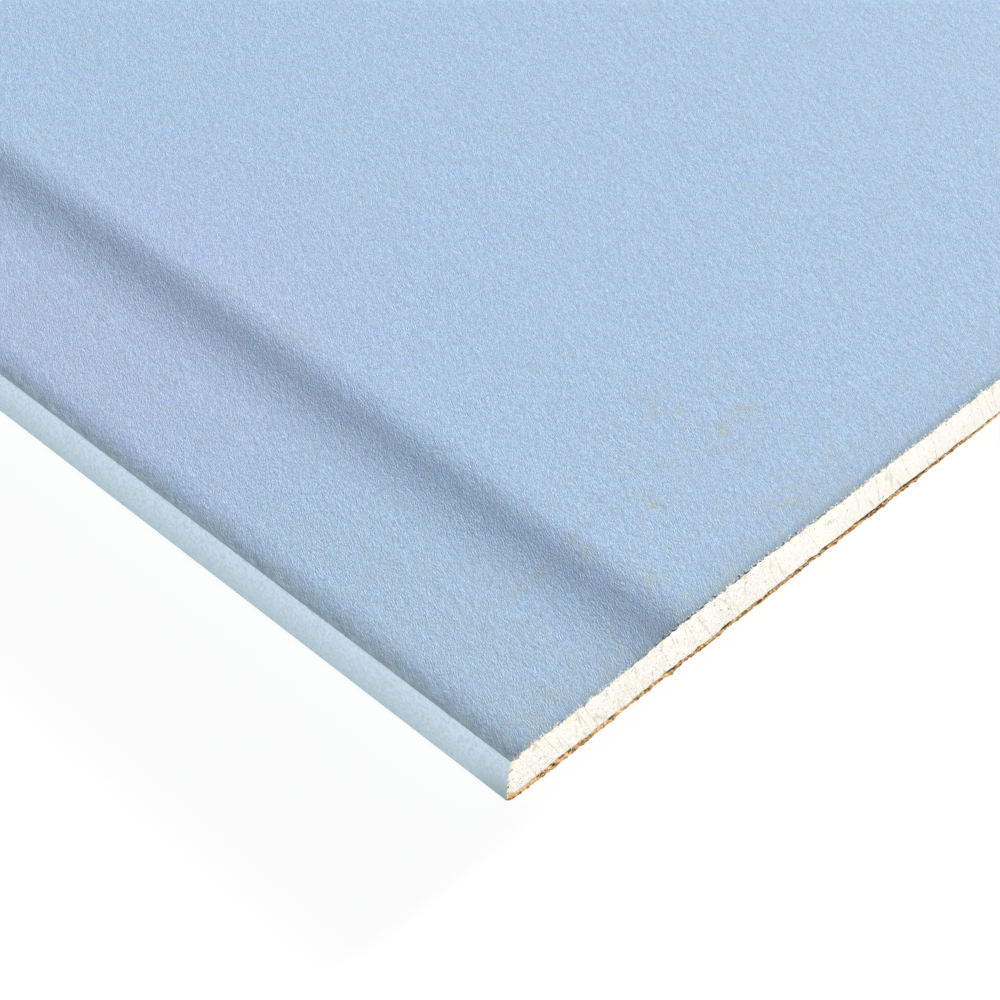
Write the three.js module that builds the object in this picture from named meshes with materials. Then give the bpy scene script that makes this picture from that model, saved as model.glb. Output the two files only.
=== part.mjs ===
// A drywall sheet with two tapered long edges, lying flat with its face paper up.
// A gypsum core is cast between two papers. The face paper is folded round both long edges
// and lapped on to the back, and the back paper is glued over the laps. The ends are cut
// square through all three layers.
// Units are millimetres: +X runs across the sheet, +Y along it and +Z up. The origin is
// the centre of the underside.

import * as THREE from "three";

// The sheet
const sheetWidth = 1200;
const sheetLength = 2400;
const sheetThickness = 12.5;

// The papers
const facePaperThickness = 0.4;
const backPaperThickness = 0.4;
const lapWidth = 30; // face paper folded under the sheet, from the long edge inwards
const backPaperInset = 10; // bare lap between the long edge and the back paper's own edge

// The tapered edge, measured in from the long edge and down from the face
const taperWidth = 53.5; // long edge to crest, where the sheet reaches its full thickness
const shelfWidth = 30; // long edge to the foot of the slope that climbs to the crest
const recessDepth = 1.25; // depth of the recess where the slope meets the shelf
const shelfFall = 0.3; // further fall of the shelf towards the long edge

// The long edge itself
const footRadius = 1.1; // fold between the back and the edge
const edgeLean = 0.85; // how far the edge leans in on its way up
const shoulderReach = 7; // how far the rounded shoulder runs in across the shelf
const shoulderDrop = 1.05; // how far the shoulder runs down the edge
const shoulderFall = 0.15; // fall of the shoulder itself on its way out to the edge
const shoulderPull = 0.65; // handle of the shoulder's curve: the shorter, the sharper

// Straight pieces to each curve
const footSteps = 6;
const edgeSteps = 6;
const shoulderSteps = 16;
const slopeSteps = 24;

const halfWidth = sheetWidth / 2;

// The outside of the face paper at one long edge, from the end of its lap round to the
// crest, as [distance in from the long edge, height] points.
function edgeOutline() {
  const lapUnderside = backPaperThickness;
  const shelfInner = sheetThickness - recessDepth;
  const shelfOuter = shelfInner - shelfFall;
  const shoulderFoot = shelfOuter - shoulderDrop;
  const shoulderTop = shelfOuter - shoulderFall;
  const edgeFoot = lapUnderside + footRadius;
  const slopeMiddle = (shelfWidth + taperWidth) / 2;

  const foot = new THREE.QuadraticBezierCurve(
    new THREE.Vector2(footRadius, lapUnderside),
    new THREE.Vector2(0, lapUnderside),
    new THREE.Vector2(0, edgeFoot),
  );
  const edge = new THREE.QuadraticBezierCurve(
    new THREE.Vector2(0, edgeFoot),
    new THREE.Vector2(0, (edgeFoot + shoulderFoot) / 2),
    new THREE.Vector2(edgeLean, shoulderFoot),
  );
  const shoulder = new THREE.CubicBezierCurve(
    new THREE.Vector2(edgeLean, shoulderFoot),
    new THREE.Vector2(edgeLean, shoulderTop),
    new THREE.Vector2(edgeLean + shoulderPull, shoulderTop),
    new THREE.Vector2(shoulderReach, shelfOuter),
  );
  const slope = new THREE.CubicBezierCurve(
    new THREE.Vector2(shelfWidth, shelfInner),
    new THREE.Vector2(slopeMiddle, shelfInner),
    new THREE.Vector2(slopeMiddle, sheetThickness),
    new THREE.Vector2(taperWidth, sheetThickness),
  );
  return [
    new THREE.Vector2(lapWidth, lapUnderside),
    ...foot.getPoints(footSteps),
    ...edge.getPoints(edgeSteps).slice(1),
    ...shoulder.getPoints(shoulderSteps).slice(1),
    ...slope.getPoints(slopeSteps),
  ];
}

// The outside of the face paper across the whole sheet, from the lap on the -X side over
// the face to the lap on the +X side.
function faceOutline() {
  const edge = edgeOutline();
  const left = edge.map((point) => new THREE.Vector2(point.x - halfWidth, point.y));
  const right = edge.map((point) => new THREE.Vector2(halfWidth - point.x, point.y));
  return [...left, ...right.reverse()];
}

// The unit normal of the line from a to b that points to its right-hand side.
function rightNormal(a, b) {
  const along = new THREE.Vector2().subVectors(b, a).normalize();
  return new THREE.Vector2(along.y, -along.x);
}

// A line of points parallel to the given one, at a distance to its right-hand side.
function offsetToRight(points, distance) {
  return points.map((point, index) => {
    const before = points[Math.max(index - 1, 0)];
    const after = points[Math.min(index + 1, points.length - 1)];
    const normalIn = index > 0 ? rightNormal(before, point) : rightNormal(point, after);
    const normalOut = index < points.length - 1 ? rightNormal(point, after) : normalIn;
    const mitre = new THREE.Vector2().addVectors(normalIn, normalOut).normalize();
    return point.clone().addScaledVector(mitre, distance / mitre.dot(normalIn));
  });
}

// One layer of the sheet: its section across the width, run out over the whole length.
function layer(name, section, colour, roughness) {
  const geometry = new THREE.ExtrudeGeometry(new THREE.Shape(section), {
    depth: sheetLength,
    bevelEnabled: false,
  });
  geometry.rotateX(Math.PI / 2);
  geometry.translate(0, sheetLength / 2, 0);
  const material = new THREE.MeshStandardMaterial({ color: colour, roughness, metalness: 0 });
  const mesh = new THREE.Mesh(geometry, material);
  mesh.name = name;
  return mesh;
}

const paperOutside = faceOutline();
const paperInside = offsetToRight(paperOutside, facePaperThickness);

// The core fills the folded face paper and reaches down to the back paper between the laps.
const coreSection = [paperOutside[0], ...paperInside, paperOutside.at(-1)];

const facePaperSection = [...paperOutside, ...[...paperInside].reverse()];

const backPaperHalfWidth = halfWidth - backPaperInset;
const backPaperSection = [
  new THREE.Vector2(-backPaperHalfWidth, 0),
  new THREE.Vector2(backPaperHalfWidth, 0),
  new THREE.Vector2(backPaperHalfWidth, backPaperThickness),
  new THREE.Vector2(-backPaperHalfWidth, backPaperThickness),
];

const group = new THREE.Group();
group.add(layer("gypsum_core", coreSection, 0xfbf8f2, 0.95));
group.add(layer("face_paper", facePaperSection, 0xb3c9e2, 0.9));
group.add(layer("back_paper", backPaperSection, 0xc9975f, 0.9));

export default group;
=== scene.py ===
from random import Random
from math import cos, pi, radians, sin

import bmesh
import bpy
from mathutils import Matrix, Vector, noise
from mathutils.geometry import interpolate_bezier


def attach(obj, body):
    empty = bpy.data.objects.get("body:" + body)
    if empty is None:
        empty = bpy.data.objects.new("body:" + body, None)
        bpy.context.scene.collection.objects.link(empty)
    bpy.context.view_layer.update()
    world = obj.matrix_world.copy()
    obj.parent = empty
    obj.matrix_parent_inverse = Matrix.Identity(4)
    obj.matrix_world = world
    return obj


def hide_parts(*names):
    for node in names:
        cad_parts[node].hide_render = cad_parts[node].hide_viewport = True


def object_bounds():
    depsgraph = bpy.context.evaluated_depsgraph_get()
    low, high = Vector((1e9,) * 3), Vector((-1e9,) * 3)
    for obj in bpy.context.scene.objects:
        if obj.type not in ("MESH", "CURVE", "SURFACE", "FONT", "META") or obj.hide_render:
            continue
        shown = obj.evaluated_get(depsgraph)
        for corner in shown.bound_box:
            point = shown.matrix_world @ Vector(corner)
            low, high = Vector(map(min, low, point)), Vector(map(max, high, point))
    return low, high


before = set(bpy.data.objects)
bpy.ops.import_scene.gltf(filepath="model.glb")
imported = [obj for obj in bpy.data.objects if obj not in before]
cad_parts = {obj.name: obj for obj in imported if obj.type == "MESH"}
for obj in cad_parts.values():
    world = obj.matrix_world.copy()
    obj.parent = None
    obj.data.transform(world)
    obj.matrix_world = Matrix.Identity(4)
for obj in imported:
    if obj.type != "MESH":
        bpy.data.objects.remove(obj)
cad_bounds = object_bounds()


# ---------------------------------------------------------------------------------------
# The view: a long lens over the corner where a long edge meets a cut end, looking down
# across the sheet.
# ---------------------------------------------------------------------------------------

MM = 0.001  # metres in a millimetre: sizes are written in millimetres, and angles in degrees

lens = bpy.data.cameras.new("lens")
lens.sensor_width = 36
lens.lens = 98.82
camera = bpy.data.objects.new("camera", lens)
camera.location = Vector((-823.13, -1419.85, 382.47)) * MM
camera.rotation_euler = (radians(45.613), 0, radians(-45.217))
bpy.context.scene.collection.objects.link(camera)
bpy.context.scene.camera = camera


# ---------------------------------------------------------------------------------------
# The studio: a warm softbox low on the +X side rakes across the face from a little behind
# the cut end. Two small ones lower still fill the long edge on the -X side and the cut end
# on the -Y side. A cool room adds a little, so that a colour renders as it is written.
# ---------------------------------------------------------------------------------------

FULL = pi  # strength of a sun lamp that lights a surface square to it at that level


def softbox(name, azimuth, elevation, width, level, tint=(1, 1, 1)):
    """A distant soft lamp: where it stands and how wide it looks, in degrees, and how much
    it lights a surface square to it."""
    light = bpy.data.lights.new(name, "SUN")
    light.energy = level * FULL
    light.color = tint
    light.angle = radians(width)
    lamp = bpy.data.objects.new(name, light)
    sideways = cos(radians(elevation))
    towards = Vector(
        (
            sideways * cos(radians(azimuth)),
            sideways * sin(radians(azimuth)),
            sin(radians(elevation)),
        )
    )
    lamp.rotation_euler = towards.to_track_quat("Z", "Y").to_euler()
    bpy.context.scene.collection.objects.link(lamp)


WARM = (1.03, 0.995, 0.955)  # tint of the raking softbox
softbox("raking_softbox", azimuth=8, elevation=9.5, width=12, level=5.05, tint=WARM)
softbox("edge_softbox", azimuth=190, elevation=2.5, width=6, level=0.99)
softbox("end_softbox", azimuth=264, elevation=4.5, width=8, level=0.785)

bpy.context.scene.view_settings.view_transform = "Standard"


def linear(hexcode):
    """An sRGB hex colour as the linear one that a shader takes."""
    parts = [int(hexcode[i : i + 2], 16) / 255 for i in (1, 3, 5)]
    return (*(c / 12.92 if c <= 0.04045 else ((c + 0.055) / 1.055) ** 2.4 for c in parts), 1)


def add_node(tree, kind, inputs=None, **settings):
    """Adds one node: settings are its own choices, inputs its values, or the sockets or
    nodes that feed it, by name or by number. A node feeds its first output in use."""
    made = tree.nodes.new("ShaderNode" + kind)
    for name, value in settings.items():
        setattr(made, name, value)
    for name, value in (inputs or {}).items():
        if isinstance(value, bpy.types.Node):
            value = next(socket for socket in value.outputs if socket.enabled)
        if isinstance(value, bpy.types.NodeSocket):
            tree.links.new(value, made.inputs[name])
        else:
            made.inputs[name].default_value = value
    return made


def looked_at(tree):
    """One for a ray from the camera, a reflection or a clear thing, and zero for light."""
    ray = add_node(tree, "LightPath").outputs
    direct = add_node(
        tree, "Math", {0: ray["Is Camera Ray"], 1: ray["Is Glossy Ray"]}, operation="MAXIMUM"
    )
    return add_node(
        tree, "Math", {0: direct, 1: ray["Is Transmission Ray"]}, operation="MAXIMUM"
    )


room = bpy.data.worlds.new("room")
room.use_nodes = True
tree = room.node_tree
tree.nodes.clear()
cool = add_node(tree, "Background", {"Color": linear("#C8E3FF"), "Strength": 0.0845})
white = add_node(tree, "Background", {"Color": linear("#FFFFFF"), "Strength": 1})
both = add_node(tree, "MixShader", {0: looked_at(tree), 1: cool, 2: white})
add_node(tree, "OutputWorld", {"Surface": both})
bpy.context.scene.world = room


def new_material(name):
    """An empty material of that name, and its node tree."""
    material = bpy.data.materials.new(name)
    material.use_nodes = True
    material.node_tree.nodes.clear()
    return material, material.node_tree


def new_object(name, shape, *materials):
    """Turns a bmesh into an object of that name at the origin, with these materials."""
    mesh = bpy.data.meshes.new(name)
    shape.to_mesh(mesh)
    shape.free()
    for material in materials:
        mesh.materials.append(material)
    made = bpy.data.objects.new(name, mesh)
    bpy.context.scene.collection.objects.link(made)
    return made


FLOOR_DROP = 0.15  # below the underside, so that the two faces don't touch
FLOOR_REACH = 40000  # each way, so that its rim is out of sight

# Matt white paint. The eye sees it white, with the shadow of the sheet on it, while the light
# that it throws back up is that of a plain pale grey.
paint, tree = new_material("white_floor")
matt = add_node(tree, "BsdfDiffuse", {"Color": linear("#CBCBCB")})
faint = add_node(tree, "BsdfDiffuse", {"Color": linear("#616161")})
glow = add_node(tree, "Emission", {"Color": linear("#FFFFFF"), "Strength": 0.94})
seen = add_node(tree, "AddShader", {0: faint, 1: glow})
both = add_node(tree, "MixShader", {0: looked_at(tree), 1: matt, 2: seen})
add_node(tree, "OutputMaterial", {"Surface": both})

shape = bmesh.new()
bmesh.ops.create_grid(shape, x_segments=1, y_segments=1, size=FLOOR_REACH * MM)
bmesh.ops.translate(shape, vec=(0, 0, -FLOOR_DROP * MM), verts=shape.verts)
floor = new_object("floor", shape, paint)

# A strip of grey gauze on the floor, just off the long edge on the +X side, takes the glare
# of the raking softbox off that edge. It stands lower than the face and isn't seen.
GAUZE_GAP = 4  # between it and the sheet
GAUZE_SPARE = 0.5  # how far it runs past each cut end
GAUZE_HEIGHT = 11.4

gauze, tree = new_material("lamp_gauze")
thin = add_node(tree, "BsdfTransparent", {"Color": linear("#767676")})
add_node(tree, "OutputMaterial", {"Surface": thin})

corner = Vector(cad_bounds[1]) / MM
shape = bmesh.new()
bmesh.ops.create_grid(shape, x_segments=1, y_segments=1, size=1)
for vert in shape.verts:
    rise = (vert.co.x + 1) / 2
    along = vert.co.y * (corner.y + GAUZE_SPARE)
    vert.co = Vector((corner.x + GAUZE_GAP, along, rise * GAUZE_HEIGHT)) * MM
screen = new_object("gauze_screen", shape, gauze)
screen.visible_camera = False
screen.visible_diffuse = False
screen.visible_glossy = False


# ---------------------------------------------------------------------------------------
# Face paper: blue liner paper of several pressed plies, of which only the outer one is dyed.
# It is folded round both long edges while the gypsum is wet, and belts press the taper in.
# The saw leaves its cut edge a little frayed.
# ---------------------------------------------------------------------------------------

WIDTH = 1200
LENGTH = 2400
THICKNESS = 12.5
PAPER = 0.4
LAP = 30  # folded under the sheet, from the long edge inwards

# Section of a long edge: points as distance in and height, and handles of the curves.
FOOT = 0.3  # fold between the long edge and the back
FOOT_PULL = 0.45  # how square that fold is
BULGE = ((0, 4.3), (0.25, 7.3))  # handles of the long edge, which bulges
EDGE_TOP = (0.99, 10.4)
EDGE_FOLD = ((1.02, 10.49), (1.15, 10.51))  # handles of the fold over it
CREASE = (1.45, 10.545)  # where that fold ends
ROUND = ((2.9, 10.716), (4.3, 10.908))  # handles of the round that the belts leave
SHOULDER = (8.0, 10.967)  # where the round turns into the shelf
SLOPE_FOOT = (28.2, 11.2)  # where the shelf turns into the slope
SLOPE = ((42.0, 11.37), (42.0, THICKNESS))  # handles of the slope
CREST = (50.8, THICKNESS)  # where the taper starts

FINE = 0.4  # columns near the long edges, where the taper is
COARSE = 1.6  # columns over the middle of the sheet
LAP_COLUMNS = 1.2  # columns over the laps
FINE_REACH = 200  # how far in from a long edge the fine columns run


def bend(start, handles, end, steps):
    """Points along a cubic curve, without the first one."""
    ends = [Vector((*point, 0)) for point in (start, *handles, end)]
    return [point.xy for point in interpolate_bezier(*ends, steps + 1)][1:]


def run(start, end, step):
    """Points along a straight run, about a step apart, without the first one."""
    start, end = Vector(start), Vector(end)
    count = max(1, round((end - start).length / step))
    return [start.lerp(end, index / count) for index in range(1, count + 1)]


def edge_outline():
    """The outside of the face paper from the end of its lap round the long edge and over
    the taper to the middle of the sheet, as (distance in, height)."""
    fold = PAPER + FOOT
    pull = FOOT_PULL * FOOT
    fold_handles = ((pull, PAPER), (0, PAPER + pull))
    return [
        Vector((LAP, PAPER)),
        *run((LAP, PAPER), (FOOT, PAPER), LAP_COLUMNS),
        *bend((FOOT, PAPER), fold_handles, (0, fold), steps=6),
        *bend((0, fold), BULGE, EDGE_TOP, steps=28),
        *bend(EDGE_TOP, EDGE_FOLD, CREASE, steps=8),
        *bend(CREASE, ROUND, SHOULDER, steps=24),
        *run(SHOULDER, SLOPE_FOOT, FINE),
        *bend(SLOPE_FOOT, SLOPE, CREST, steps=60),
        *run(CREST, (FINE_REACH, THICKNESS), FINE),
        *run((FINE_REACH, THICKNESS), (WIDTH / 2, THICKNESS), COARSE),
    ]


SEED_STEP = 7.31  # how far apart in the noise two seeds are, so that they share nothing


def rough(x, y, size, seed):
    """Smooth noise, -1 to 1, that changes over about that many millimetres."""
    return noise.noise(Vector((x / size, y / size, SEED_STEP * seed)))


def waves(x, y, kinds, shift, level=0):
    """That level with several noises on it: the size, height and seed of each. The shift
    gives each end or layer its own."""
    return sum((height * rough(x, y, size, seed + shift) for size, height, seed in kinds), level)


def ramp(value, start, stop):
    """Zero up to the start, one from the stop on, and straight between."""
    return max(0, min(1, (value - start) / (stop - start)))


# Path of the saw at the -Y end: distance in from the -X edge, and how far it stands out.
# Over the last stretch, and everywhere else, it wanders about a level.
SAW_PATH = (
    (0, 0.1),
    (10, 0.13),
    (18, 0.28),
    (25, 0.35),
    (31, 0.22),
    (42, 0.12),
    (49, 0.35),
    (54, 0.38),
    (61, 0.15),
    (72, 0.13),
    (82, 0.33),
    (92, 0.62),
    (102, 0.58),
    (120, 0.68),
    (180, 0.5),
)
SAW_LEVEL = 0.45
SAW_SWINGS = ((26, 0.35, 3),)  # size, height and seed of its slow swings
SAW_JITTERS = ((8.5, 0.1, 6),)  # and of the quicker ones on them


def saw_wander(x, end):
    """How far the cut stands out of the square end."""
    inside = WIDTH / 2 + x
    wander = waves(x, 0, SAW_SWINGS, end, SAW_LEVEL)
    if end < 0 and inside < SAW_PATH[-1][0]:
        after = next(index for index, spot in enumerate(SAW_PATH) if inside < spot[0])
        (start, before), (stop, beyond) = SAW_PATH[after - 1], SAW_PATH[after]
        known = before + (beyond - before) * ramp(inside, start, stop)
        wander = known + (wander - known) * ramp(inside, SAW_PATH[-2][0], SAW_PATH[-1][0])
    return waves(x, 0, SAW_JITTERS, end, wander)


FRAYS = ((0.95, 0.34, 11), (2.6, 0.2, 15), (0.55, 0.2, 25))  # size, depth and seed of each
FRAY_PROUD = 0.15  # how far the fringe stands out of the cut
NICK = 1.7  # length of a nick and the gap to the next
NICK_RARE = 0.3  # how high the noise has to reach to make one
NICK_DEPTH = 0.8  # how deep one would be, were the noise to go that much further up
NICK_SEED = 21


def fray(along, end):
    """How far the cut edge of the face paper is frayed back."""
    nick = max(0, rough(along, 0, NICK, NICK_SEED + end) - NICK_RARE)
    return waves(along, 0, FRAYS, end) - FRAY_PROUD + NICK_DEPTH * nick


def station(line, along):
    """The entry of a line at a new grid's own coordinate, which runs from -1 to 1."""
    return line[round((along + 1) / 2 * (len(line) - 1))]


def sharpen(shape, angle):
    """Shades a shape smooth but for the edges that turn by more than this angle."""
    for face in shape.faces:
        face.smooth = True
    for edge in shape.edges:
        edge.smooth = len(edge.link_faces) == 2 and edge.calc_face_angle() < radians(angle)


outline = edge_outline()
left = [Vector((x - WIDTH / 2, z)) for x, z in outline]
right = [Vector((WIDTH / 2 - x, z)) for x, z in outline[:-1]]
section = left + right[::-1]

TOUCH = 1e-6  # heights nearer to each other than this are the same
FRAYED = 1.6  # how far in from a cut the fraying draws the paper back
WANDERED = 12  # and how far in the wandering of the saw moves it
EDGE_FRAY = 0.4  # share of the fraying on the long edge, where the saw cuts cleaner
LAP_SHORT = 0.6  # how much shorter the saw breaks the laps off
LAP_TURN = 2  # how far in from the long edge that has come about
FOLD_CRUSHED = 1.0  # height up to which it crushes the fold between the edge and the lap
FOLD_SHORT = 0.5  # how far it crushes that back
rows = [0, 0.35, 0.8, FRAYED, 4, WANDERED, 60, 400]  # rows of points, in from a cut
rows = [-LENGTH / 2 + row for row in rows] + [0] + [LENGTH / 2 - row for row in rows[::-1]]

shape = bmesh.new()
to_cut = shape.verts.layers.float.new("to_cut")  # millimetres in from the frayed edge
bmesh.ops.create_grid(shape, x_segments=len(section) - 1, y_segments=len(rows) - 1, size=1)
for vert in shape.verts:
    x, z = station(section, vert.co.x)
    y = station(rows, vert.co.y)
    end = 1 if y > 0 else -1
    inside = LENGTH / 2 - abs(y)
    vert[to_cut] = inside
    if inside < WANDERED:
        torn = fray(x + z, end) * (1 if z > EDGE_TOP[1] else EDGE_FRAY)
        torn += FOLD_SHORT * max(0, 1 - (z - PAPER) / FOLD_CRUSHED)
        if z < PAPER + TOUCH:
            torn += LAP_SHORT * ramp(WIDTH / 2 - abs(x), 0, LAP_TURN)
        torn *= max(0, 1 - inside / FRAYED)
        strayed = saw_wander(x, end) * (1 - inside / WANDERED)
        y += end * (strayed - torn)
    vert.co = (x * MM, y * MM, z * MM)
shape.normal_update()
dyed = set(shape.faces)
bmesh.ops.solidify(shape, geom=shape.faces[:], thickness=PAPER * MM)
shape.normal_update()
for face in shape.faces:
    face.material_index = 0 if face in dyed else 1
sharpen(shape, angle=50)


def in_millimetres(tree):
    """Object coordinates in millimetres, for the patterns of a material."""
    metres = add_node(tree, "TexCoord").outputs["Object"]
    return add_node(tree, "VectorMath", {0: metres, "Scale": 1 / MM}, operation="SCALE")


TALL = 1000  # height of a spot, so great that no part of the sheet is above or below it


def soft_spot(tree, place, x, y, width, length):
    """A round or oval spot, one at its middle and zero at its rim: how far in it is from the
    long edge at -X and from the cut at -Y, and how far it reaches in each direction."""
    middle = (x - WIDTH / 2, y - LENGTH / 2, 0)
    reach = (width, length, TALL)
    spot = add_node(
        tree,
        "Mapping",
        {"Vector": place, "Location": middle, "Scale": reach},
        vector_type="TEXTURE",
    )
    return add_node(tree, "TexGradient", {"Vector": spot}, gradient_type="SPHERICAL")


# Blue liner paper: dyed in the pulp, then pressed against felt. The eye sees short slanting
# fibres in low relief, a little paler or deeper than each other, with faint lilac clouds.
# Over the long edges the belts have ironed it smooth and pale.
FELT_TURN = 62  # heading of the fibres from +X
FIBRE_LENGTH = 2.4  # of a fibre or a tuft, in its own widths
FIBRE = 0.25  # width of a fibre: the real ones are a tenth of that and wouldn't show
HAIR = 0.27  # width of a paler fibre, drawn as coarse
TUFT = 1.3  # width of a tuft of fibres
COCKLE = 3.5  # size of the slow waves beneath
PUCKER = 2.5  # size of the puckers along the crease
RELIEF = 0.063  # depth of the fibres from their lowest to their highest
CLOUD = 2.5  # size of the small lilac clouds
LARGE_CLOUD = (15, 140, 85, 75)  # where the large one is, and how far it reaches

blue_liner, tree = new_material("blue_liner_paper")
place = in_millimetres(tree)
parts = add_node(tree, "SeparateXYZ", {0: place}).outputs
across = add_node(tree, "Math", {0: parts["X"]}, operation="ABSOLUTE")
in_from_edge = add_node(tree, "Math", {0: WIDTH / 2, 1: across}, operation="SUBTRACT")
by_cut = add_node(tree, "Attribute", attribute_name="to_cut").outputs["Fac"]

# Where the paper is on the long edge, worn along the crease, and on the slope of the taper.
on_edge = add_node(
    tree,
    "MapRange",
    {0: in_from_edge, "From Min": 1.75, "From Max": 1.15},
    interpolation_type="SMOOTHSTEP",
)
by_crease = add_node(
    tree,
    "MapRange",
    {0: in_from_edge, "From Min": 4.6, "From Max": 1.4},
    interpolation_type="SMOOTHSTEP",
)
up_slope = add_node(
    tree,
    "MapRange",
    {0: in_from_edge, "From Min": 29, "From Max": 37, "To Min": 0.08},
    interpolation_type="SMOOTHSTEP",
)
off_slope = add_node(
    tree,
    "MapRange",
    {0: in_from_edge, "From Min": 52, "From Max": 45},
    interpolation_type="SMOOTHSTEP",
)
on_slope = add_node(tree, "Math", {0: up_slope, 1: off_slope}, operation="MULTIPLY")

turned = (0, 0, radians(FELT_TURN))
felt = add_node(
    tree,
    "Mapping",
    {"Vector": place, "Rotation": turned, "Scale": (FIBRE_LENGTH, 1, 1)},
    vector_type="TEXTURE",
)
fibre = add_node(
    tree, "TexNoise", {"Vector": felt, "Scale": 1 / FIBRE, "Detail": 1, "Roughness": 0.8}
)
tuft = add_node(tree, "TexNoise", {"Vector": felt, "Scale": 1 / TUFT, "Detail": 1})
cockle = add_node(tree, "TexNoise", {"Vector": place, "Scale": 1 / COCKLE, "Detail": 1})
pucker = add_node(tree, "TexNoise", {"Vector": place, "Scale": 1 / PUCKER, "Detail": 2})
pucker = add_node(tree, "Math", {0: pucker, 1: 0.5}, operation="SUBTRACT")
pucker = add_node(tree, "Math", {0: pucker, 1: by_crease}, operation="MULTIPLY")
height = fibre
for wave, share in ((tuft, 0.62), (cockle, 0.62), (pucker, 4)):
    height = add_node(tree, "Math", {0: wave, 1: share, 2: height}, operation="MULTIPLY_ADD")
# The relief is deeper on the slope, and all but pressed out on the long edge.
depth = add_node(tree, "Math", {0: on_slope, 1: 0.6, 2: 1}, operation="MULTIPLY_ADD")
depth = add_node(tree, "Math", {0: on_edge, 1: -0.8, 2: depth}, operation="MULTIPLY_ADD")
depth = add_node(tree, "Math", {0: depth, 1: RELIEF * MM}, operation="MULTIPLY")
relief = add_node(tree, "Bump", {"Height": height, "Strength": 1.0, "Distance": depth})

cloud = add_node(
    tree, "TexNoise", {"Vector": place, "Scale": 1 / CLOUD, "Detail": 3, "Roughness": 0.75}
)
lilac = add_node(
    tree, "MapRange", {0: cloud, "From Min": 0.3, "From Max": 0.7, "To Min": 0.1, "To Max": 0.8}
)
large = soft_spot(tree, place, *LARGE_CLOUD)
lilac = add_node(tree, "Math", {0: large, 1: 0.7, 2: lilac}, operation="MULTIPLY_ADD")
hair = add_node(
    tree, "TexNoise", {"Vector": felt, "Scale": 1 / HAIR, "Detail": 2, "Roughness": 0.8}
)
hair = add_node(tree, "MapRange", {0: hair, "From Min": 0.385, "From Max": 0.68})
worn = add_node(tree, "Math", {0: by_crease, 1: 0.8}, operation="MULTIPLY")

# Hands have dulled the shelf a little, most of all by the cut.
handled = add_node(tree, "MapRange", {0: in_from_edge, "From Min": 42, "From Max": 18})
by_corner = add_node(
    tree, "MapRange", {0: by_cut, "From Min": 90, "From Max": 25, "To Min": 0.04, "To Max": 0.14}
)
handled = add_node(tree, "Math", {0: handled, 1: by_corner}, operation="MULTIPLY")

# It is darker along the cut, more so away from the long edges: painted shade where the paper rolls
# down to the cut.
painted_cut_shade = add_node(tree, "MapRange", {0: by_cut, "From Min": 10, "From Max": 0, "To Max": 0.15})
cut_roll_shade = add_node(
    tree,
    "MapRange",
    {0: by_cut, "From Min": 2.4, "From Max": -0.3},
    interpolation_type="SMOOTHSTEP",
)
roll_shade_strength = add_node(
    tree,
    "MapRange",
    {0: in_from_edge, "From Min": 40, "From Max": 58, "To Min": 0.4, "To Max": 0.78},
)
cut_roll_shade = add_node(tree, "Math", {0: cut_roll_shade, 1: roll_shade_strength}, operation="MULTIPLY")
painted_cut_shade = add_node(tree, "Math", {0: painted_cut_shade, 1: cut_roll_shade}, operation="ADD")

# It has a patchy dust of gypsum by the cut, and a few soft smudges where it was gripped at
# the corner of -X and -Y: where each is, how far it reaches and how strong it is.
SMUDGES = (
    (89, 28, 7, 5, 0.42),
    (87, 43, 5, 7, 0.34),
    (63.5, 24.5, 7, 4, 0.37),
    (36, 28, 8, 3.5, 0.3),
    (47, 26, 4, 7, 0.3),
    (49.5, 13, 6, 5, 0.35),
    (50, 111, 5, 7, 0.25),
    (98, 30, 8, 4, 0.2),
    (90, 6, 20, 9, 0.15),
    (80, 30, 40, 30, 0.1),
    (12, 30, 24, 30, 0.05),
    (35, 3, 16, 8, 0.12),
    (62, 1, 35, 4, 0.15),
    (8, 6, 14, 14, 0.08),
)
PATCH = 4  # size of the patches that break them up
smudged = add_node(
    tree, "MapRange", {0: by_cut, "From Min": 20, "From Max": 0, "To Min": 0.1, "To Max": 0.2}
)
for x, y, width, length, strength in SMUDGES:
    spot = soft_spot(tree, place, x, y, width, length)
    smudged = add_node(tree, "Math", {0: spot, 1: strength, 2: smudged}, operation="MULTIPLY_ADD")
patchy = add_node(
    tree, "TexNoise", {"Vector": place, "Scale": 1 / PATCH, "Detail": 4, "Roughness": 0.75}
)
patchy = add_node(tree, "MapRange", {0: patchy, "From Min": 0.38, "From Max": 0.7, "To Max": 1.6})
smudged = add_node(tree, "Math", {0: smudged, 1: patchy}, operation="MULTIPLY")

on_top = add_node(
    tree, "Mix", {0: lilac, 6: linear("#8FB8DA"), 7: linear("#9FAFDA")}, data_type="RGBA"
)
for layer, colour in (
    (hair, "#C0D9F2"),
    (worn, "#B0C8D7"),
    (handled, "#B2CAC6"),
    (painted_cut_shade, "#7C92A4"),
    # painted shade along the cut, where the paper rolls down to it
    (smudged, "#B2BAA8"),
):
    on_top = add_node(tree, "Mix", {0: layer, 6: on_top, 7: linear(colour)}, data_type="RGBA")
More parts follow.
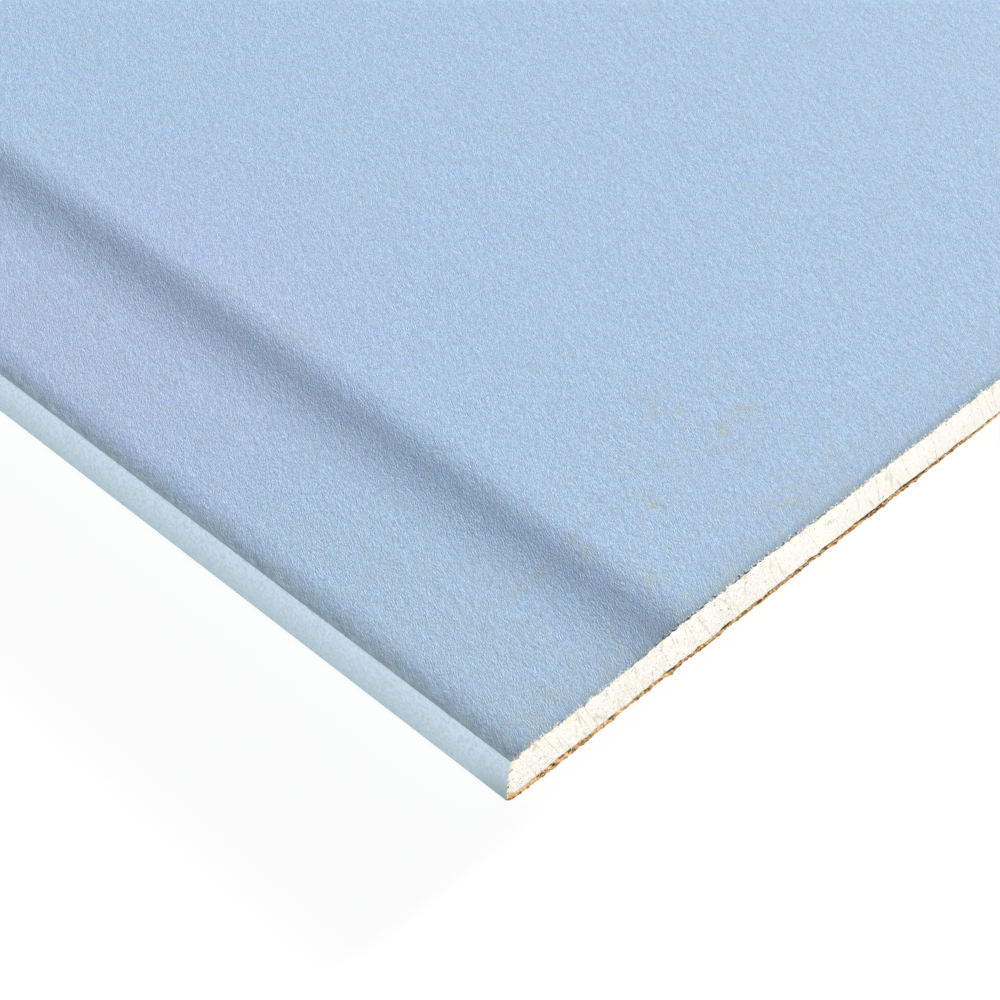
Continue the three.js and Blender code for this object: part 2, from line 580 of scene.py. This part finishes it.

# The ironed paper of the long edge is darker towards the foot, in blotches: painted shade
# where the edge turns under. It is darker still by the cut, and has grey scuffs.
BLOTCH = 2.5  # size of a blotch
SCUFF = 0.7  # size of a scuff
cut_darkening = add_node(tree, "MapRange", {0: by_cut, "From Min": 9, "From Max": 0, "To Max": 3})
blotch = add_node(tree, "TexNoise", {"Vector": place, "Scale": 1 / BLOTCH, "Detail": 3})
# painted shade that fades up the long edge, in blotches
foot_shade_fade = add_node(tree, "Math", {0: parts["Z"], 1: cut_darkening}, operation="SUBTRACT")
foot_shade_fade = add_node(tree, "Math", {0: blotch, 1: 3, 2: foot_shade_fade}, operation="MULTIPLY_ADD")
foot_shade_fade = add_node(tree, "MapRange", {0: foot_shade_fade, "From Min": 1, "From Max": 11})
scuff = add_node(
    tree, "TexNoise", {"Vector": place, "Scale": 1 / SCUFF, "Detail": 3, "Roughness": 0.8}
)
scuff = add_node(tree, "MapRange", {0: scuff, "From Min": 0.42, "From Max": 0.95})
# painted shade at the foot of the long edge, deeper by the cut
low = add_node(tree, "MapRange", {0: parts["Z"], "From Min": 6.5, "From Max": 1})
low = add_node(tree, "Math", {0: low, 1: cut_darkening}, operation="MULTIPLY")
low = add_node(tree, "Math", {0: low, 1: 0.22}, operation="MULTIPLY")
ironed = add_node(
    tree, "Mix", {0: foot_shade_fade, 6: linear("#A3B7BF"), 7: linear("#C0D3E0")}, data_type="RGBA"
)
for layer, colour in ((scuff, "#8C9899"), (low, "#7E8988")):
    ironed = add_node(tree, "Mix", {0: layer, 6: ironed, 7: linear(colour)}, data_type="RGBA")

# On the face the cut edge ends in torn tufts, pale where the dye hasn't reached, with pockets
# between them where the saw has plucked it, dark with painted shade.
TUFT_END = 0.32  # width of a tuft's end
TUFT_REACH = 5  # how far in they would be spread, were the noise to use its whole range
POCKET = 0.75  # size of a pocket
POCKET_FADE = 0.3  # how much rarer pockets get with each millimetre in from the cut
on_face = add_node(tree, "Math", {0: 1.0, 1: on_edge}, operation="SUBTRACT")
torn = add_node(
    tree, "TexNoise", {"Vector": felt, "Scale": 1 / TUFT_END, "Detail": 2, "Roughness": 0.7}
)
torn = add_node(tree, "Math", {0: torn, 1: -TUFT_REACH, 2: by_cut}, operation="MULTIPLY_ADD")
torn = add_node(
    tree,
    "MapRange",
    {0: torn, "From Min": -2.15, "From Max": -2.6},
    interpolation_type="SMOOTHSTEP",
)
torn = add_node(tree, "Math", {0: torn, 1: on_face}, operation="MULTIPLY")
# painted shade in the pockets that the saw has plucked
pocket_shade = add_node(tree, "TexNoise", {"Vector": place, "Scale": 1 / POCKET, "Detail": 2})
pocket_shade = add_node(tree, "Math", {0: by_cut, 1: -POCKET_FADE, 2: pocket_shade}, operation="MULTIPLY_ADD")
pocket_shade = add_node(tree, "MapRange", {0: pocket_shade, "From Min": 0.42, "From Max": 0.5})
# They are fewest on the shelf, and few again far in, where the saw has cut cleanly.
tufted = add_node(
    tree, "MapRange", {0: in_from_edge, "From Min": 34, "From Max": 44, "To Min": 0.35}
)
clean_cut = add_node(
    tree, "MapRange", {0: in_from_edge, "From Min": 94, "From Max": 76, "To Min": 0.3}
)
for share in (on_face, tufted, clean_cut):
    pocket_shade = add_node(tree, "Math", {0: pocket_shade, 1: share}, operation="MULTIPLY")

blue = add_node(tree, "Mix", {0: on_edge, 6: on_top, 7: ironed}, data_type="RGBA")
for layer, colour in ((torn, "#E6E9E8"), (pocket_shade, "#565F64")):
    blue = add_node(tree, "Mix", {0: layer, 6: blue, 7: linear(colour)}, data_type="RGBA")
shader = add_node(
    tree,
    "BsdfPrincipled",
    {"Base Color": blue, "Normal": relief, "Roughness": 0.9, "Specular IOR Level": 0.15},
)
add_node(tree, "OutputMaterial", {"Surface": shader})

# Cut plies: undyed recycled pulp. The eye sees cream to tan where the saw has cut through it,
# with dark specks, partly the pulp's own and partly painted shade in tiny gaps, and a dust of
# gypsum over that away from the long edges.
PULP_GRAIN = 0.8  # size of the darker specks of the pulp
DUST = 0.5  # size of a speck of dust, drawn coarse enough to show

cut_plies, tree = new_material("cut_paper_plies")
place = in_millimetres(tree)
across = add_node(tree, "SeparateXYZ", {0: place}).outputs["X"]
across = add_node(tree, "Math", {0: across}, operation="ABSOLUTE")
dusty = add_node(
    tree, "MapRange", {0: across, "From Min": WIDTH / 2 - 5, "From Max": WIDTH / 2 - 50}
)
dust = add_node(
    tree, "TexNoise", {"Vector": place, "Scale": 1 / DUST, "Detail": 2, "Roughness": 0.7}
)
dust = add_node(tree, "Math", {0: dusty, 1: 0.12, 2: dust}, operation="MULTIPLY_ADD")
dust = add_node(
    tree, "MapRange", {0: dust, "From Min": 0.49, "From Max": 0.59}, interpolation_type="SMOOTHSTEP"
)
# dark specks: partly the pulp's grain, partly painted shade in tiny gaps
grain = add_node(tree, "TexNoise", {"Vector": place, "Scale": 1 / PULP_GRAIN, "Detail": 1})
grain = add_node(tree, "MapRange", {0: grain, "From Min": 0.32, "From Max": 0.52})
tan = add_node(
    tree, "Mix", {0: grain, 6: linear("#7A5526"), 7: linear("#EBD2A0")}, data_type="RGBA"
)
tan = add_node(tree, "Mix", {0: dust, 6: tan, 7: linear("#F0EBDD")}, data_type="RGBA")
shader = add_node(
    tree, "BsdfPrincipled", {"Base Color": tan, "Roughness": 0.95, "Specular IOR Level": 0.1}
)
add_node(tree, "OutputMaterial", {"Surface": shader})

face_paper = new_object("face_paper_sheet", shape, blue_liner, cut_plies)
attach(face_paper, "root")
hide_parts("face_paper")


# ---------------------------------------------------------------------------------------
# Gypsum core: foamed plaster that has set between the two papers. The saw that parts the
# sheets scores the ends along its slanting teeth, and breaks crumbs out of the lower
# corner, where the back paper tears away instead of cutting.
# ---------------------------------------------------------------------------------------

FOOT_ROWS = [0, 0.15, 0.3, 0.47, 0.66, 0.88, 1.13, 1.42, 1.77]  # close rows at the foot
TOP_ROWS = [0.6, 0.3, 0.12, 0]  # and at the top, measured down
ROW = 0.56  # rows between
EDGE_HOLD = 14  # how far in the columns follow the bulge of the long edge
SCORE_LEAN = 0.47  # how far a score runs across for each millimetre down
SCORES = (  # size, depth and seed of each, and how much slower it changes downwards
    (1.1, 0.02, 41, 0.05),
    (3.1, 0.03, 45, 0.04),
)
CHALK = ((1.0, 0.02, 53), (0.6, 0.015, 57))  # size, depth and seed of its grain

CHIPPED = 0.5  # height of the chipped corner under the face paper
CHIP = 0.05  # depth of that chipping all along
CHIP_MORE = 0.25  # and of the larger chips
CHIP_LENGTH = 0.9  # of a larger chip
CHIP_SEED = 67

CRUMBLED = 0.88  # height of the crumbled corner over the back paper
CRUMBLES = ((5.5, 0.35, 31), (1.4, 0.25, 35), (30, 0.45, 31))  # size, height and seed
LAP_CRUMBLED = 0.35  # height of the crumbled corner over the laps
LAP_CRUMBLES = ((2.5, 0.15, 37),)
LAP_FOLLOWS = 1.4  # how much higher it is for each millimetre that the cut stands out
LEAST_CRUMBLED = 0.1  # height that it has everywhere
CRUMB_START = 0.4  # how deep into the end the lowest crumbled corner reaches
CRUMB_SLANT = 2  # how much deeper it reaches for each millimetre of its height
CRUMB_DEPTH = 1.8  # how deep it reaches at most
CRUMB_HOLLOW = 0.8  # how hollow its slope is: one is straight
CRUMBS = ((0.8, 0.2, 63),)  # size, height and seed of the crumbs left on that slope


def inwards(points, distance):
    """A line of points parallel to the given one, to its right-hand side."""
    made = []
    for index, point in enumerate(points):
        before = points[max(index - 1, 0)]
        after = points[min(index + 1, len(points) - 1)]
        sides = [
            Vector((b.y - a.y, a.x - b.x)).normalized()
            for a, b in ((before, point), (point, after))
            if a != b
        ]
        mitre = sum(sides, Vector((0, 0))).normalized()
        made.append(point + mitre * distance / mitre.dot(sides[0]))
    return made


def at_heights(points, heights):
    """The points of a rising line at the given heights, which also rise."""
    made, index = [], 0
    for height in heights:
        while index < len(points) - 2 and points[index + 1].y < height:
            index += 1
        low, high = points[index], points[index + 1]
        made.append(low.lerp(high, (height - low.y) / (high.y - low.y)))
    return made


def crumbled(x, end):
    """Height of the corner that has broken away over the back paper and the laps."""
    inside = WIDTH / 2 - abs(x)
    broken = ramp(inside, LAP - 4, LAP + 6) * waves(x, 0, CRUMBLES, end, CRUMBLED)
    low = LAP_CRUMBLED + LAP_FOLLOWS * saw_wander(x, end)
    low = ramp(inside, 5, 13) * waves(x, 0, LAP_CRUMBLES, end, low)
    return max(LEAST_CRUMBLED, low + broken)


def scored(x, z, end):
    """How far the sawn face stands out: shallow waves along the scores, and a chalky grain."""
    across = x + SCORE_LEAN * z
    scores = sum(
        depth * rough(across, change * z, size, seed + end)
        for size, depth, seed, change in SCORES
    )
    return waves(x, z, CHALK, end, scores)


inner = inwards(section, PAPER)
foot = next(index for index, point in enumerate(section) if point.y > PAPER + TOUCH) - 1
crease = next(index for index, point in enumerate(section) if point.y >= CREASE[1])
side = inner[foot : crease + 1]
top = inner[crease : len(inner) - crease]

full = THICKNESS - 2 * PAPER
between = full - FOOT_ROWS[-1] - TOP_ROWS[0]
middle_rows = round(between / ROW)
heights = FOOT_ROWS + [
    FOOT_ROWS[-1] + between / middle_rows * index for index in range(1, middle_rows)
]
shares = [height / full for height in heights + [full - depth for depth in TOP_ROWS]]
side_points = at_heights(side, [side[0].y + share * (side[-1].y - side[0].y) for share in shares])
bulge = [point - side[0].lerp(side[-1], share) for point, share in zip(side_points, shares)]

shape = bmesh.new()
bmesh.ops.create_grid(shape, x_segments=len(top) - 1, y_segments=len(shares) - 1, size=1)
for vert in shape.verts:
    over = station(top, vert.co.x)
    under_x = over.x * side[0].x / side[-1].x
    on_lap = abs(under_x) > WIDTH / 2 - LAP
    under = Vector((under_x, 2 * PAPER if on_lap else PAPER))
    spot = under.lerp(over, station(shares, vert.co.y))
    hold = max(0, 1 - (abs(top[0].x) - abs(over.x)) / EDGE_HOLD) ** 2
    shift = station(bulge, vert.co.y)
    spot.x += hold * shift.x * (1 if over.x < 0 else -1)
    spot.y += hold * shift.y
    vert.co = (spot.x * MM, -LENGTH / 2 * MM, spot.y * MM)
bmesh.ops.reverse_faces(shape, faces=shape.faces[:])
made = bmesh.ops.extrude_face_region(shape, geom=shape.faces[:])["geom"]
far = [part for part in made if isinstance(part, bmesh.types.BMVert)]
bmesh.ops.translate(shape, vec=(0, LENGTH * MM, 0), verts=far)

topside = {round(point.x, 3): point.y for point in top}
for vert in shape.verts:
    x, y, z = vert.co / MM
    end = 1 if y > 0 else -1
    above = z - (2 * PAPER if abs(x) > WIDTH / 2 - LAP else PAPER)
    below = topside.get(round(x, 3), THICKNESS) - z
    out = saw_wander(x, end) + scored(x, z, end)
    broken = crumbled(x, end)
    if above < broken:
        depth = min(CRUMB_DEPTH, CRUMB_START + CRUMB_SLANT * broken)
        out -= depth * (1 - above / broken) ** CRUMB_HOLLOW
        out = waves(x, z, CRUMBS, end, out)
    if below < CHIPPED:
        chip = CHIP + CHIP_MORE * max(0, rough(x, 0, CHIP_LENGTH, CHIP_SEED + end))
        out -= chip * (1 - below / CHIPPED)
    vert.co.y = end * (LENGTH / 2 + out) * MM
shape.normal_update()
sharpen(shape, angle=60)

# Set gypsum, sawn: chalky white. The eye sees thin grey scores a few millimetres apart, the
# pores that the foam has left, darkened with painted shade, and a fine grain between them.
SCORE_GAP = 3.2  # about the distance between two scores
SCORE_PATCH = 4  # size of the patches that have scores, with bare ones between
STREAK = 0.9  # width of a faint streak
STEEP = 0.12  # how much slower scores and streaks change along their length
PORE_GAP = 2.3  # distance between two pores
PINHOLE_GAP = 0.9  # and between two pinholes
FIELD = 9  # size of the fields that have pinholes
CRYSTAL = 0.4  # size of the grain: real crystals are far finer and wouldn't show

gypsum, tree = new_material("sawn_gypsum")
place = in_millimetres(tree)
parts = add_node(tree, "SeparateXYZ", {0: place}).outputs
slanted = add_node(
    tree, "Math", {0: parts["Z"], 1: SCORE_LEAN, 2: parts["X"]}, operation="MULTIPLY_ADD"
)
along = add_node(tree, "Math", {0: parts["Z"], 1: STEEP}, operation="MULTIPLY")
sawn = add_node(tree, "CombineXYZ", {0: slanted, 1: parts["Y"], 2: along})

# A score is where slow noise passes its middle value, so it is thin and never straight.
score = add_node(tree, "TexNoise", {"Vector": sawn, "Scale": 1 / SCORE_GAP, "Detail": 1})
score = add_node(tree, "Math", {0: score, 1: 0.5}, operation="SUBTRACT")
score = add_node(tree, "Math", {0: score}, operation="ABSOLUTE")
score = add_node(
    tree,
    "MapRange",
    {0: score, "From Min": 0.02, "From Max": 0.004},
    interpolation_type="SMOOTHSTEP",
)
patch = add_node(tree, "TexNoise", {"Vector": place, "Scale": 1 / SCORE_PATCH, "Detail": 1})
patch = add_node(tree, "MapRange", {0: patch, "From Min": 0.34, "From Max": 0.55})
score = add_node(tree, "Math", {0: score, 1: patch}, operation="MULTIPLY")
streak = add_node(
    tree, "TexNoise", {"Vector": sawn, "Scale": 1 / STREAK, "Detail": 2, "Roughness": 0.6}
)

# Pores are round, each of its own size, and pinholes lie between them in fields. Towards
# the long edges the plaster is coarser and fuller of pinholes.
pore = add_node(tree, "TexVoronoi", {"Vector": place, "Scale": 1 / PORE_GAP}).outputs
size = add_node(tree, "SeparateColor", {0: pore["Color"]})
size = add_node(tree, "MapRange", {0: size, "To Min": 0.03, "To Max": 0.15})
pore = add_node(tree, "Math", {0: pore["Distance"], 1: size}, operation="DIVIDE")
pore = add_node(
    tree, "MapRange", {0: pore, "From Min": 1.1, "From Max": 0.5}, interpolation_type="SMOOTHSTEP"
)
pinhole = add_node(tree, "TexVoronoi", {"Vector": place, "Scale": 1 / PINHOLE_GAP})
pinhole = add_node(
    tree,
    "MapRange",
    {0: pinhole.outputs["Distance"], "From Min": 0.2, "From Max": 0.08},
    interpolation_type="SMOOTHSTEP",
)
across = add_node(tree, "Math", {0: parts["X"]}, operation="ABSOLUTE")
coarse = add_node(
    tree, "MapRange", {0: across, "From Min": WIDTH / 2 - 110, "From Max": WIDTH / 2 - 60}
)
field = add_node(tree, "TexNoise", {"Vector": place, "Scale": 1 / FIELD, "Detail": 1})
field = add_node(tree, "MapRange", {0: field, "From Min": 0.35, "From Max": 0.6})
field = add_node(tree, "Math", {0: coarse, 1: 0.5, 2: field}, operation="MULTIPLY_ADD")
pinhole = add_node(tree, "Math", {0: pinhole, 1: field}, operation="MULTIPLY")
grain = add_node(
    tree, "TexNoise", {"Vector": place, "Scale": 1 / CRYSTAL, "Detail": 2, "Roughness": 0.8}
)
speck = add_node(tree, "Math", {0: grain, 1: 0.5}, operation="SUBTRACT")
speck = add_node(tree, "Math", {0: speck, 1: coarse}, operation="MULTIPLY")

# grey scores, streaks and grain, with painted shade in the pores and pinholes
marks_and_pore_shade = add_node(tree, "Math", {0: score, 1: 0.26}, operation="MULTIPLY")
for mark, share in ((streak, 0.06), (pore, 0.85), (pinhole, 0.7), (grain, 0.55), (speck, 0.6)):
    marks_and_pore_shade = add_node(tree, "Math", {0: mark, 1: share, 2: marks_and_pore_shade}, operation="MULTIPLY_ADD")

# In the corners the fold of the face paper is crushed into it, and low down it is browner:
# partly a glue stain from the back paper, partly painted shade of the crumbled recess.
FOLD_MIDDLE = (WIDTH / 2 - 0.6, 0, 0.9)  # at +X, and mirrored at -X
crushed = add_node(tree, "VectorMath", {0: place, 1: (1, 0, 1)}, operation="MULTIPLY")
crushed = add_node(tree, "VectorMath", {0: crushed}, operation="ABSOLUTE")
crushed = add_node(tree, "VectorMath", {0: crushed, 1: FOLD_MIDDLE}, operation="DISTANCE")
crushed = add_node(tree, "Math", {0: grain, 1: -1, 2: crushed}, operation="MULTIPLY_ADD")
crushed = add_node(tree, "MapRange", {0: crushed, "From Min": 1.0, "From Max": 0.5})
# low down: glue stain and painted shade of the crumbled recess
glue_stain_and_shade = add_node(tree, "Math", {0: grain, 1: 0.8, 2: parts["Z"]}, operation="MULTIPLY_ADD")
glue_stain_and_shade = add_node(tree, "MapRange", {0: glue_stain_and_shade, "From Min": 2.1, "From Max": 1.3, "To Max": 0.55})

chalk = add_node(
    tree, "Mix", {0: marks_and_pore_shade, 6: linear("#FFFCF5"), 7: linear("#A59F8C")}, data_type="RGBA"
)
for layer, colour in ((crushed, "#DDBB85"), (glue_stain_and_shade, "#AE8245")):
    chalk = add_node(tree, "Mix", {0: layer, 6: chalk, 7: linear(colour)}, data_type="RGBA")

height = add_node(tree, "Math", {0: pore, 1: -1.2, 2: grain}, operation="MULTIPLY_ADD")
height = add_node(tree, "Math", {0: score, 1: -0.3, 2: height}, operation="MULTIPLY_ADD")
relief = add_node(tree, "Bump", {"Height": height, "Strength": 1.0, "Distance": 0.03 * MM})
shader = add_node(
    tree,
    "BsdfPrincipled",
    {"Base Color": chalk, "Normal": relief, "Roughness": 0.95, "Specular IOR Level": 0.1},
)
add_node(tree, "OutputMaterial", {"Surface": shader})

core = new_object("gypsum_core_body", shape, gypsum)
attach(core, "root")
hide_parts("gypsum_core")


# ---------------------------------------------------------------------------------------
# Back paper: brown liner paper, glued over the laps of the face paper, ten millimetres in
# from each long edge. This is all of it but its torn ends, up to where its plies part.
# ---------------------------------------------------------------------------------------

BACK_INSET = 10  # from each long edge
PARTED = 1.8  # how far in from the cut its plies begin to part

# Kraft liner: unbleached recycled pulp. The eye sees a matt brown, mottled with paler and
# darker fibres that lie mostly along the sheet.
KRAFT_TURN = 8  # heading of the fibres from +Y
KRAFT_LENGTH = 3  # length of a fibre in its own widths
KRAFT_FIBRE = 0.35  # width of a fibre: the real ones are a tenth of that and wouldn't show

kraft, tree = new_material("kraft_liner_paper")
place = in_millimetres(tree)
turned = (0, 0, radians(KRAFT_TURN))
laid = add_node(
    tree,
    "Mapping",
    {"Vector": place, "Rotation": turned, "Scale": (1, KRAFT_LENGTH, 1)},
    vector_type="TEXTURE",
)
fibre = add_node(
    tree, "TexNoise", {"Vector": laid, "Scale": 1 / KRAFT_FIBRE, "Detail": 2, "Roughness": 0.7}
)
relief = add_node(tree, "Bump", {"Height": fibre, "Strength": 1.0, "Distance": 0.02 * MM})
pulp = add_node(tree, "MapRange", {0: fibre, "From Min": 0.3, "From Max": 0.7})
pulp = add_node(
    tree, "Mix", {0: pulp, 6: linear("#A97C48"), 7: linear("#DDBE8C")}, data_type="RGBA"
)
shader = add_node(
    tree,
    "BsdfPrincipled",
    {"Base Color": pulp, "Normal": relief, "Roughness": 0.9, "Specular IOR Level": 0.15},
)
add_node(tree, "OutputMaterial", {"Surface": shader})

shape = bmesh.new()
bmesh.ops.create_grid(shape, x_segments=40, y_segments=12, size=1)
half = WIDTH / 2 - BACK_INSET
for vert in shape.verts:
    vert.co = (vert.co.x * half * MM, vert.co.y * (LENGTH / 2 - PARTED) * MM, 0)
bmesh.ops.reverse_faces(shape, faces=shape.faces[:])
shape.normal_update()
bmesh.ops.solidify(shape, geom=shape.faces[:], thickness=PAPER * MM)
shape.normal_update()
sharpen(shape, angle=50)
back_sheet = new_object("back_paper_sheet", shape, kraft)
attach(back_sheet, "root")
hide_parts("back_paper")


# ---------------------------------------------------------------------------------------
# Torn ends of the back paper: brown plies of it and of the laps, which tear off at each
# end instead of being cut. They part, lift and fray, and leave a few loose fibres hanging.
# ---------------------------------------------------------------------------------------

PLIES = 3
PLY = PAPER / PLIES
PLY_SOLID = 0.8  # share of a ply's thickness that it fills, so that stacked ones don't touch
PLY_ROWS = (0, 0.3, 0.45, 0.6, 0.75, 0.9, 1)  # shares of the way out to the torn edge
TEAR_FINE = 0.3  # columns near the long edges
TEAR_COARSE = 1.2  # and over the middle

REACH = (-0.1, -0.17, -0.3)  # how far each ply stands out of the cut, from the lowest up
TEARS = ((4.5, 0.25, 70), (1.2, 0.25, 71), (0.6, 0.2, 72))  # size, reach and seed of each
TAIL = 3.3  # size of a longer tail of pulp
TAIL_RARE = 0.4  # how high the noise has to reach to leave one
TAIL_REACH = 1.2  # how far one would reach, were the noise to go that much further up
TAIL_SEED = 73
LAP_REACH = 0.5  # how much further the plies of the laps stand out
EDGE_SHORT = 0.6  # how much further back they tear at the long edge itself
EDGE_SHORT_IN = 1.2  # and how far in from it that ends
SHORT_TEAR = 0.07  # how much further back the plies tear away from the long edges
SHORT_TEAR_IN = (55, 80)  # and between which distances in that comes about

LIFT = (0.0, 0.22, 0.3)  # how far each bulges up from the ply below before its torn edge
LIFTS = ((6, 1.1, 90), (1.3, 0.6, 94))  # size, share and seed of how that changes
LAP_LIFT = 0.2  # how much higher each ply of the laps bulges
PINCH = 0.6  # share of its height in the stack that a ply loses at its torn edge
RUFFLE = 0.7  # size of the ruffles along the torn edge
RUFFLE_HEIGHT = 0.03
RUFFLE_SEED = 74

# Torn kraft: the inside of that pulp. The eye sees it paler and fluffy, and dark under the
# crumbled core: partly glue that has soaked in, partly painted shade of that recess.
FLUFF = 0.6  # size of a ball of fluff
MOTTLE = 1.0  # size of the patches that the glue has or hasn't reached

torn_kraft, tree = new_material("torn_kraft_pulp")
place = in_millimetres(tree)
fluff = add_node(
    tree, "TexNoise", {"Vector": place, "Scale": 1 / FLUFF, "Detail": 3, "Roughness": 0.75}
)
relief = add_node(tree, "Bump", {"Height": fluff, "Strength": 1.0, "Distance": 0.06 * MM})
pulp = add_node(tree, "MapRange", {0: fluff, "From Min": 0.36, "From Max": 0.6})
pulp = add_node(
    tree, "Mix", {0: pulp, 6: linear("#96764C"), 7: linear("#FFD79E")}, data_type="RGBA"
)
to_tear = add_node(tree, "Attribute", attribute_name="to_tear").outputs["Fac"]
mottle = add_node(
    tree, "TexNoise", {"Vector": place, "Scale": 1 / MOTTLE, "Detail": 2, "Roughness": 0.7}
)
# dark away from the torn edge: partly glue, partly painted shade under the crumbled core
glue_and_shade = add_node(tree, "Math", {0: mottle, 1: 0.8, 2: to_tear}, operation="MULTIPLY_ADD")
across = add_node(tree, "SeparateXYZ", {0: place}).outputs["X"]
across = add_node(tree, "Math", {0: across}, operation="ABSOLUTE")
lapped = add_node(
    tree, "MapRange", {0: across, "From Min": WIDTH / 2 - 80, "From Max": WIDTH / 2 - LAP}
)
glue_and_shade = add_node(tree, "Math", {0: lapped, 1: -0.25, 2: glue_and_shade}, operation="MULTIPLY_ADD")
glue_and_shade = add_node(
    tree,
    "MapRange",
    {0: glue_and_shade, "From Min": 0.44, "From Max": 0.69},
    interpolation_type="SMOOTHSTEP",
)
pulp = add_node(tree, "Mix", {0: glue_and_shade, 6: pulp, 7: linear("#68410E")}, data_type="RGBA")
shader = add_node(
    tree,
    "BsdfPrincipled",
    {"Base Color": pulp, "Normal": relief, "Roughness": 0.95, "Specular IOR Level": 0.1},
)
add_node(tree, "OutputMaterial", {"Surface": shader})

far_in = WIDTH / 2 - FINE_REACH
fold = WIDTH / 2 - FOOT
columns = [Vector((-fold, 0))]
columns += run(columns[-1], (-far_in, 0), TEAR_FINE)
columns += run(columns[-1], (far_in, 0), TEAR_COARSE)
columns += run(columns[-1], (fold, 0), TEAR_FINE)


def torn_plies(end):
    """The parted plies of the back paper along one cut end, stacked in one shape. Outside
    the back paper they are those of the laps, which droop to the same level. The ramps go
    by the distance in from the long edge."""
    stack = bmesh.new()
    to_tear = stack.verts.layers.float.new("to_tear")  # millimetres in from the torn edge
    for ply in range(PLIES):
        own = 10 * ply + end
        grid = {"x_segments": len(columns) - 1, "y_segments": len(PLY_ROWS) - 1, "size": 1}
        made = bmesh.ops.create_grid(stack, **grid)["verts"]
        for vert in made:
            x = station(columns, vert.co.x).x
            share = station(PLY_ROWS, vert.co.y)
            inside = WIDTH / 2 - abs(x)
            on_lap = min(ramp(inside, -1, 4), ramp(inside, LAP + 4, LAP - 14))
            reach = REACH[ply] + LAP_REACH * on_lap
            reach += waves(x, 0, TEARS, own)
            reach += TAIL_REACH * max(0, rough(x, 0, TAIL, TAIL_SEED + own) - TAIL_RARE)
            reach -= EDGE_SHORT * ramp(inside, EDGE_SHORT_IN, 0)
            reach -= SHORT_TEAR * ramp(inside, *SHORT_TEAR_IN)
            lift = sum(
                LIFT[part] * max(0, waves(x, 0, LIFTS, part, level=1))
                for part in range(1, ply + 1)
            )
            on_lap = min(ramp(inside, 0, 3), ramp(inside, LAP + 2, LAP - 2))
            lift += ply * LAP_LIFT * on_lap
            y = LENGTH / 2 - PARTED + share * (PARTED + reach)
            z = ply * PLY * (1 - PINCH * share) + lift * sin(pi * share)
            if abs(x) > half:
                z += PAPER * (1 - share)
            z += RUFFLE_HEIGHT * share * (1 + rough(x, y, RUFFLE, RUFFLE_SEED + own))
            vert.co = (x * MM, end * y * MM, z * MM)
            vert[to_tear] = (1 - share) * (PARTED + reach)
        faces = list({face for vert in made for face in vert.link_faces})
        if end > 0:
            bmesh.ops.reverse_faces(stack, faces=faces)
        stack.normal_update()
        bmesh.ops.solidify(stack, geom=faces, thickness=PLY_SOLID * PLY * MM)
    stack.normal_update()
    sharpen(stack, angle=45)
    return stack


FIBRES = 150  # loose ones at each end
FIBRE_THICK = 0.03
FIBRE_DROOP = 0.25  # how far one droops at a millimetre from its root
FIBRE_LOWEST = 0.05  # above the floor


def loose_fibres(end, chance):
    """Short bent fibres that stand out of the torn plies of one cut end."""
    tangle = bmesh.new()
    for _ in range(FIBRES):
        x = chance.uniform(-half, half)
        out = chance.uniform(-1.3, -0.6)
        z = chance.uniform(0.15, 0.9)
        length = chance.uniform(0.4, 1.0)
        heading = radians(chance.uniform(-75, 75))
        rise = chance.uniform(-0.4, 0.7)
        curl = chance.uniform(-1.2, 1.2)
        made = bmesh.ops.create_grid(tangle, x_segments=1, y_segments=4, size=1)["verts"]
        for vert in made:
            reach = (vert.co.y + 1) / 2 * length
            turn = heading + curl * reach
            side = vert.co.x * chance.uniform(0.02, 0.04)
            spot = Vector((x + side * cos(turn) + sin(turn) * reach, 0, z + rise * reach))
            spot.y = end * (LENGTH / 2 + out + cos(turn) * reach - side * sin(turn))
            spot.z = max(FIBRE_LOWEST, spot.z - FIBRE_DROOP * reach**2)
            vert.co = spot * MM
    bmesh.ops.solidify(tangle, geom=tangle.faces[:], thickness=FIBRE_THICK * MM)
    bmesh.ops.recalc_face_normals(tangle, faces=tangle.faces[:])
    sharpen(tangle, angle=60)
    return tangle


chance = Random(12)
for end, where in ((-1, "near"), (1, "far")):
    plies = new_object(f"torn_plies_{where}", torn_plies(end), torn_kraft)
    fibres = new_object(f"loose_fibres_{where}", loose_fibres(end, chance), torn_kraft)
    for piece in (plies, fibres):
        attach(piece, "root")
